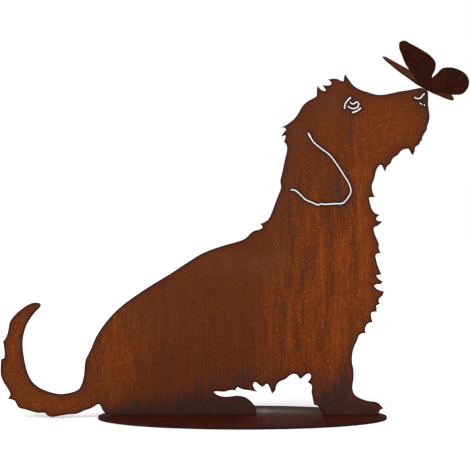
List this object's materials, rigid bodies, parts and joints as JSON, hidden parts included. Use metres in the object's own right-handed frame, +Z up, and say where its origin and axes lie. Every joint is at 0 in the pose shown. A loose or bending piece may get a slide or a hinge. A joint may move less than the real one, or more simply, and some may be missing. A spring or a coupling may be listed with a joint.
{
  "type": "metal dachshund figurine",
  "caption": "Garden figure of a sitting rough-haired dachshund with a butterfly on its nose: a rusted steel silhouette standing on an oval foot plate",
  "frame": {"origin": "centre of the oval foot plate's underside, on the surface that the figure stands on", "axes": "+Z is up. +X points from the dog's tail to its nose. The dog's flat sheet lies in the XZ plane, and its viewed side faces -Y"},
  "size_m": [0.4667, 0.15, 0.3738],
  "materials": {
    "dog_sheet": "rusted steel sheet, reddish brown with orange run marks, matt",
    "plate": "rusted steel plate, dark brown, slight sheen",
    "wings": "rusted thin steel sheet, dark brown, matt"
  },
  "bodies": {
    "root": {"dachshund": "dog_sheet", "foot_plate": "plate", "butterfly": "wings"}
  },
  "joints": []
}
